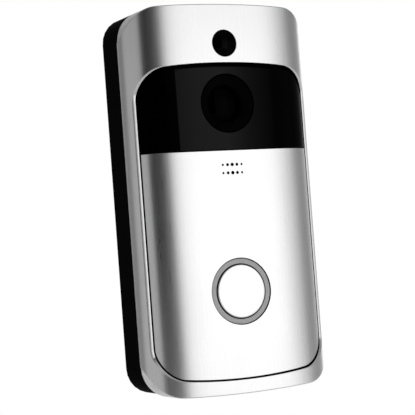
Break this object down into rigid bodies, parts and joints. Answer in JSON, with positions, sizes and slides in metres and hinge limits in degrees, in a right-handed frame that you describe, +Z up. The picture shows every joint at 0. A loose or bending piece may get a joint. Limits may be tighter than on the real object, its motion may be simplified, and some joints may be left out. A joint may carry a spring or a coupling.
{
  "type": "video doorbell",
  "caption": "Upright battery video doorbell with a bowed silver face, black camera window, round bell button with a light ring, black rear housing and slide-on wall bracket.",
  "frame": {"origin": "centre of the wall bracket's back face, on the wall", "axes": "+Z up along the long side, +Y into the wall, -Y out of the face towards the visitor, +X to the visitor's right"},
  "size_m": [0.072, 0.0289, 0.138],
  "materials": {
    "silver_face": "fine satin, bright",
    "silver_button": "satin silver paint on plastic",
    "housing_black": "fine-textured black",
    "inner_black": "plain moulded black",
    "window_black": "polished black",
    "lens_glass": "coated glass",
    "pir_black": "polished black dome",
    "light_guide": "translucent grey, unlit",
    "rubber_black": "matt",
    "steel": "plain",
    "brass": "plain",
    "circuit_board": "green solder mask",
    "chip": "moulded epoxy",
    "smoked_epoxy": "polished",
    "cell_sleeve": "blue shrink sleeve",
    "flex_film": "amber film"
  },
  "bodies": {
    "bracket": {"wall_bracket": "housing_black"},
    "doorbell": {"rear_housing": "housing_black", "case_seal": "rubber_black", "case_screw_top_left": "steel", "case_screw_top_right": "steel", "case_screw_bottom_left": "steel", "case_screw_bottom_right": "steel", "front_frame": "silver_face", "front_panel": "silver_face", "camera_window": "window_black", "battery_tray": "inner_black", "battery_cell_left": "cell_sleeve", "battery_contact_left": "steel", "battery_spring_left": "steel", "battery_cell_right": "cell_sleeve", "battery_contact_right": "steel", "battery_spring_right": "steel", "light_ring": "light_guide", "button_seal": "rubber_black", "front_board": "circuit_board", "button_switch": "inner_black", "ring_led_1": "smoked_epoxy", "ring_led_2": "smoked_epoxy", "ring_led_3": "smoked_epoxy", "ring_led_4": "smoked_epoxy", "microphone": "steel", "microphone_boot": "rubber_black", "board_flex": "flex_film", "pir_lens": "pir_black", "pir_sensor": "steel", "lens_hood": "inner_black", "lens_glass": "lens_glass", "lens_barrel": "inner_black", "lens_holder": "inner_black", "image_sensor": "chip", "camera_board": "circuit_board", "sensor_board": "circuit_board", "ir_led_left_top": "smoked_epoxy", "ir_led_left_middle": "smoked_epoxy", "ir_led_left_bottom": "smoked_epoxy", "ir_led_right_top": "smoked_epoxy", "ir_led_right_middle": "smoked_epoxy", "ir_led_right_bottom": "smoked_epoxy", "light_sensor": "smoked_epoxy", "main_board": "circuit_board", "usb_socket": "steel", "reset_switch": "inner_black", "terminal_plate_left": "brass", "terminal_plate_right": "brass", "speaker": "inner_black", "wifi_antenna": "flex_film"},
    "lock_screw": {"lock_screw": "steel"},
    "battery_cover": {"battery_cover": "housing_black"},
    "bell_button": {"button_cap": "silver_button"},
    "switch_plunger": {"switch_plunger": "inner_black"},
    "reset_button": {"reset_button": "inner_black"},
    "usb_plug": {"usb_plug": "rubber_black"},
    "terminal_screw_left": {"terminal_screw_left": "brass"},
    "terminal_screw_right": {"terminal_screw_right": "brass"}
  },
  "joints": [
    {"name": "doorbell_lift", "type": "slide", "parent": "bracket", "child": "doorbell", "axis": [0, 0, 1], "range_m": [0, 0.005]},
    {"name": "lock_screw_out", "type": "slide", "parent": "doorbell", "child": "lock_screw", "axis": [0, 0, -1], "range_m": [0, 0.011]},
    {"name": "battery_cover_slide", "type": "slide", "parent": "doorbell", "child": "battery_cover", "axis": [0, 0, -1], "range_m": [0, 0.003]},
    {"name": "bell_button_press", "type": "slide", "parent": "doorbell", "child": "bell_button", "axis": [0, 1, 0], "range_m": [0, 0.0005], "stiffness_N_per_m": 1500, "springref_m": -0.0005},
    {"name": "switch_plunger_press", "type": "slide", "parent": "doorbell", "child": "switch_plunger", "axis": [0, 1, 0], "range_m": [0, 0.0005]},
    {"name": "reset_button_press", "type": "slide", "parent": "doorbell", "child": "reset_button", "axis": [0, -1, 0], "range_m": [0, 0.0004], "stiffness_N_per_m": 1500, "springref_m": -0.0005},
    {"name": "usb_plug_pull", "type": "slide", "parent": "doorbell", "child": "usb_plug", "axis": [0, 1, 0], "range_m": [0, 0.006]},
    {"name": "terminal_screw_left_out", "type": "slide", "parent": "doorbell", "child": "terminal_screw_left", "axis": [0, 1, 0], "range_m": [0, 0.0015]},
    {"name": "terminal_screw_right_out", "type": "slide", "parent": "doorbell", "child": "terminal_screw_right", "axis": [0, 1, 0], "range_m": [0, 0.0015]}
  ],
  "couplings": [
    {"joint": "switch_plunger_press", "follows": "bell_button_press", "ratio": 1}
  ]
}
